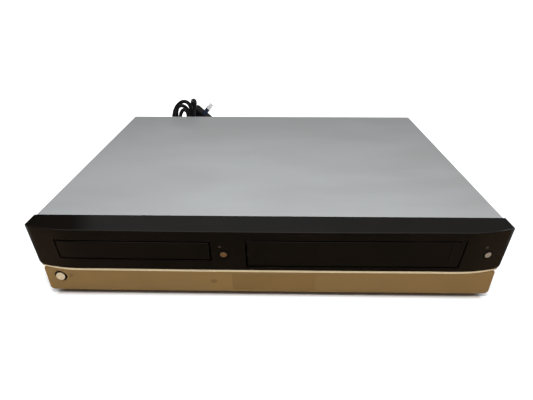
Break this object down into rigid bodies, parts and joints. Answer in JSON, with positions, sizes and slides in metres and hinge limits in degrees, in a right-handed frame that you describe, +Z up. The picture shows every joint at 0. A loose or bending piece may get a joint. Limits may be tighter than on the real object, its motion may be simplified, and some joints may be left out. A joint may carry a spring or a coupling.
{
  "type": "dvd vcr combo player",
  "caption": "Wide flat case with a disc tray behind a glossy front, a sprung cassette door, a fold-down mirrored flap over the controls, rear sockets and a folded mains lead.",
  "frame": {"origin": "on the floor under the middle of the case, feet at z=0", "axes": "+X to the right seen from the front, +Y to the back, +Z up"},
  "size_m": [0.43, 0.3992, 0.106],
  "materials": {
    "cover_paint": "satin silver-grey paint",
    "zinc_steel": "plated sheet",
    "screw_steel": "plated",
    "piano_black": "polished",
    "champagne_trim": "bright metallised",
    "gold_mirror": "half-mirror champagne",
    "smoked_window": "smoked",
    "silver_button": "metallised",
    "black_plastic": "fine grain",
    "grey_plastic": "fine grain",
    "tray_plastic": "fine grain",
    "white_plastic": "natural nylon",
    "display_glass": "dark glass",
    "rubber_pad": "matt",
    "circuit_board": "solder resist",
    "switch_board": "phenolic board",
    "spring_steel": "wire",
    "ground_steel": "ground",
    "cast_alloy": "machined",
    "ferrite_core": "core and tape",
    "anodised": "extruded",
    "jack_plastic": "moulded",
    "cord_pvc": "soft pvc",
    "plug_pvc": "moulded pvc",
    "pin_brass": "plated brass"
  },
  "bodies": {
    "case": {"av_input_jacks": "jack_plastic", "av_output_jacks": "jack_plastic", "bottom_chassis": "zinc_steel", "carriage_frame": "zinc_steel", "clamp_bridge": "zinc_steel", "control_deck": "black_plastic", "cord_hank": "cord_pvc", "cord_lead": "cord_pvc", "cord_tie": "plug_pvc", "cover_screws": "screw_steel", "deck_chassis": "zinc_steel", "display_module": "display_glass", "door_spring": "spring_steel", "fan_frame": "black_plastic", "feet": "black_plastic", "foot_pads": "rubber_pad", "front_board": "switch_board", "front_fascia": "piano_black", "heat_sink": "anodised", "loader_frame": "black_plastic", "lower_drum": "cast_alloy", "main_board": "circuit_board", "plug_body": "plug_pvc", "plug_pins": "pin_brass", "power_board": "switch_board", "power_transformer": "ferrite_core", "rear_panel": "zinc_steel", "scart_sockets": "jack_plastic", "strain_relief": "cord_pvc", "switch_boards": "switch_board", "top_cover": "cover_paint", "trim_strip": "champagne_trim", "tuner_can": "zinc_steel"},
    "lower_flap": {"lower_flap": "gold_mirror", "display_window": "smoked_window", "power_cup": "black_plastic"},
    "power_button": {"power_button": "silver_button"},
    "dvd_eject_button": {"dvd_eject_button": "silver_button"},
    "vcr_eject_button": {"vcr_eject_button": "silver_button"},
    "rewind_button": {"rewind_button": "grey_plastic"},
    "play_button": {"play_button": "grey_plastic"},
    "forward_button": {"forward_button": "grey_plastic"},
    "stop_button": {"stop_button": "grey_plastic"},
    "record_button": {"record_button": "grey_plastic"},
    "cassette_door": {"cassette_door": "piano_black"},
    "disc_tray": {"disc_tray": "tray_plastic", "tray_front": "piano_black"},
    "tray_drive_gear": {"tray_drive_gear": "white_plastic"},
    "traverse": {"traverse_chassis": "zinc_steel", "pickup_rods": "ground_steel"},
    "disc_turntable": {"disc_turntable": "black_plastic"},
    "optical_pickup": {"optical_pickup": "cast_alloy"},
    "clamp_puck": {"clamp_puck": "white_plastic"},
    "carriage_arms": {"carriage_arms": "black_plastic"},
    "cassette_holder": {"cassette_holder": "zinc_steel"},
    "head_drum": {"head_drum": "cast_alloy"},
    "capstan_flywheel": {"capstan_flywheel": "ground_steel"},
    "supply_reel": {"supply_reel": "white_plastic"},
    "takeup_reel": {"takeup_reel": "white_plastic"},
    "fan_rotor": {"fan_rotor": "black_plastic"}
  },
  "joints": [
    {"name": "flap_hinge", "type": "hinge", "parent": "case", "child": "lower_flap", "pos_m": [0, -0.1545, 0.0085], "axis": [1, 0, 0], "range_deg": [0, 82]},
    {"name": "power_press", "type": "slide", "parent": "lower_flap", "child": "power_button", "axis": [0, 1, 0], "range_m": [0, 0.0012], "stiffness_N_per_m": 300, "springref_m": -0.0006},
    {"name": "dvd_eject_press", "type": "slide", "parent": "case", "child": "dvd_eject_button", "axis": [0, 1, 0], "range_m": [0, 0.0012], "stiffness_N_per_m": 300, "springref_m": -0.0006},
    {"name": "vcr_eject_press", "type": "slide", "parent": "case", "child": "vcr_eject_button", "axis": [0, 1, 0], "range_m": [0, 0.0012], "stiffness_N_per_m": 300, "springref_m": -0.0006},
    {"name": "rewind_press", "type": "slide", "parent": "case", "child": "rewind_button", "axis": [0, 1, 0], "range_m": [0, 0.0009], "stiffness_N_per_m": 300, "springref_m": -0.0006},
    {"name": "play_press", "type": "slide", "parent": "case", "child": "play_button", "axis": [0, 1, 0], "range_m": [0, 0.0009], "stiffness_N_per_m": 300, "springref_m": -0.0006},
    {"name": "forward_press", "type": "slide", "parent": "case", "child": "forward_button", "axis": [0, 1, 0], "range_m": [0, 0.0009], "stiffness_N_per_m": 300, "springref_m": -0.0006},
    {"name": "stop_press", "type": "slide", "parent": "case", "child": "stop_button", "axis": [0, 1, 0], "range_m": [0, 0.0009], "stiffness_N_per_m": 300, "springref_m": -0.0006},
    {"name": "record_press", "type": "slide", "parent": "case", "child": "record_button", "axis": [0, 1, 0], "range_m": [0, 0.0009], "stiffness_N_per_m": 300, "springref_m": -0.0006},
    {"name": "cassette_door_hinge", "type": "hinge", "parent": "case", "child": "cassette_door", "pos_m": [0.0768, -0.17, 0.0702], "axis": [1, 0, 0], "range_deg": [0, 75], "stiffness_Nm_per_rad": 0.01, "springref_deg": -17.19},
    {"name": "tray_slide", "type": "slide", "parent": "case", "child": "disc_tray", "axis": [0, -1, 0], "range_m": [0, 0.125]},
    {"name": "tray_gear_turn", "type": "hinge", "parent": "case", "child": "tray_drive_gear", "pos_m": [-0.1654, -0.135, 0.05], "axis": [0, 0, 1], "range_deg": [0, 910]},
    {"name": "traverse_lift", "type": "slide", "parent": "case", "child": "traverse", "axis": [0, 0, 1], "range_m": [0, 0.006]},
    {"name": "disc_spin", "type": "hinge", "parent": "traverse", "child": "disc_turntable", "pos_m": [-0.1183, -0.096, 0.05], "axis": [0, 0, 1], "continuous": true},
    {"name": "pickup_sled", "type": "slide", "parent": "traverse", "child": "optical_pickup", "axis": [0, 1, 0], "range_m": [0, 0.034]},
    {"name": "puck_spin", "type": "hinge", "parent": "case", "child": "clamp_puck", "pos_m": [-0.1183, -0.096, 0.065], "axis": [0, 0, 1], "continuous": true},
    {"name": "carriage_slide", "type": "slide", "parent": "case", "child": "carriage_arms", "axis": [0, 1, 0], "range_m": [0, 0.046]},
    {"name": "holder_drop", "type": "slide", "parent": "carriage_arms", "child": "cassette_holder", "axis": [0, 0, -1], "range_m": [0, 0.024]},
    {"name": "drum_spin", "type": "hinge", "parent": "case", "child": "head_drum", "pos_m": [0.0768, 0.01, 0.035], "axis": [0, 0, 1], "continuous": true},
    {"name": "capstan_spin", "type": "hinge", "parent": "case", "child": "capstan_flywheel", "pos_m": [0.1428, -0.014, 0.02], "axis": [0, 0, 1], "continuous": true},
    {"name": "supply_spin", "type": "hinge", "parent": "case", "child": "supply_reel", "pos_m": [0.0308, -0.084, 0.02], "axis": [0, 0, 1], "continuous": true},
    {"name": "takeup_spin", "type": "hinge", "parent": "case", "child": "takeup_reel", "pos_m": [0.1228, -0.084, 0.02], "axis": [0, 0, 1], "continuous": true},
    {"name": "fan_spin", "type": "hinge", "parent": "case", "child": "fan_rotor", "pos_m": [-0.075, 0.156, 0.044], "axis": [0, 1, 0], "continuous": true}
  ],
  "couplings": [
    {"joint": "tray_gear_turn", "follows": "tray_slide", "rad_per_m": 126.58},
    {"joint": "puck_spin", "follows": "disc_spin", "ratio": 1}
  ]
}
